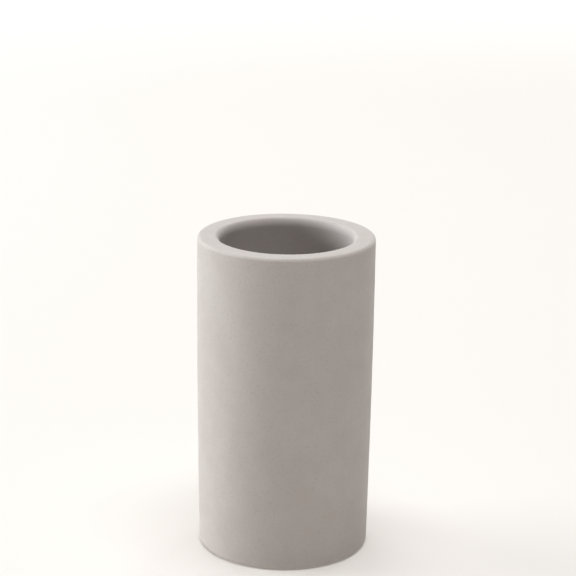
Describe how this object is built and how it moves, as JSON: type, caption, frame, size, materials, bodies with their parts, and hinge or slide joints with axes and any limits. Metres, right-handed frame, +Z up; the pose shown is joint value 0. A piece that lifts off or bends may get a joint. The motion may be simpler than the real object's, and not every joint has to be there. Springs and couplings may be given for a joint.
{
  "type": "toothbrush holder",
  "caption": "Free-standing round toothbrush tumbler: a thick-walled open cup with a soft inner lip, a flat rim and a foam pad seated in its underside.",
  "frame": {"origin": "centre of the pad's underside, on the plane that the holder stands on", "axes": "+Z up along the tumbler's axis, out of its mouth; +X to the viewer's right and +Y away from the viewer in the picture. The form is turned about +Z, so X and Y are interchangeable."},
  "size_m": [0.066, 0.066, 0.12],
  "materials": {
    "warm_grey_stone": "matte",
    "grey_foam": "matte"
  },
  "bodies": {
    "root": {"tumbler_body": "warm_grey_stone", "base_pad": "grey_foam"}
  },
  "joints": []
}
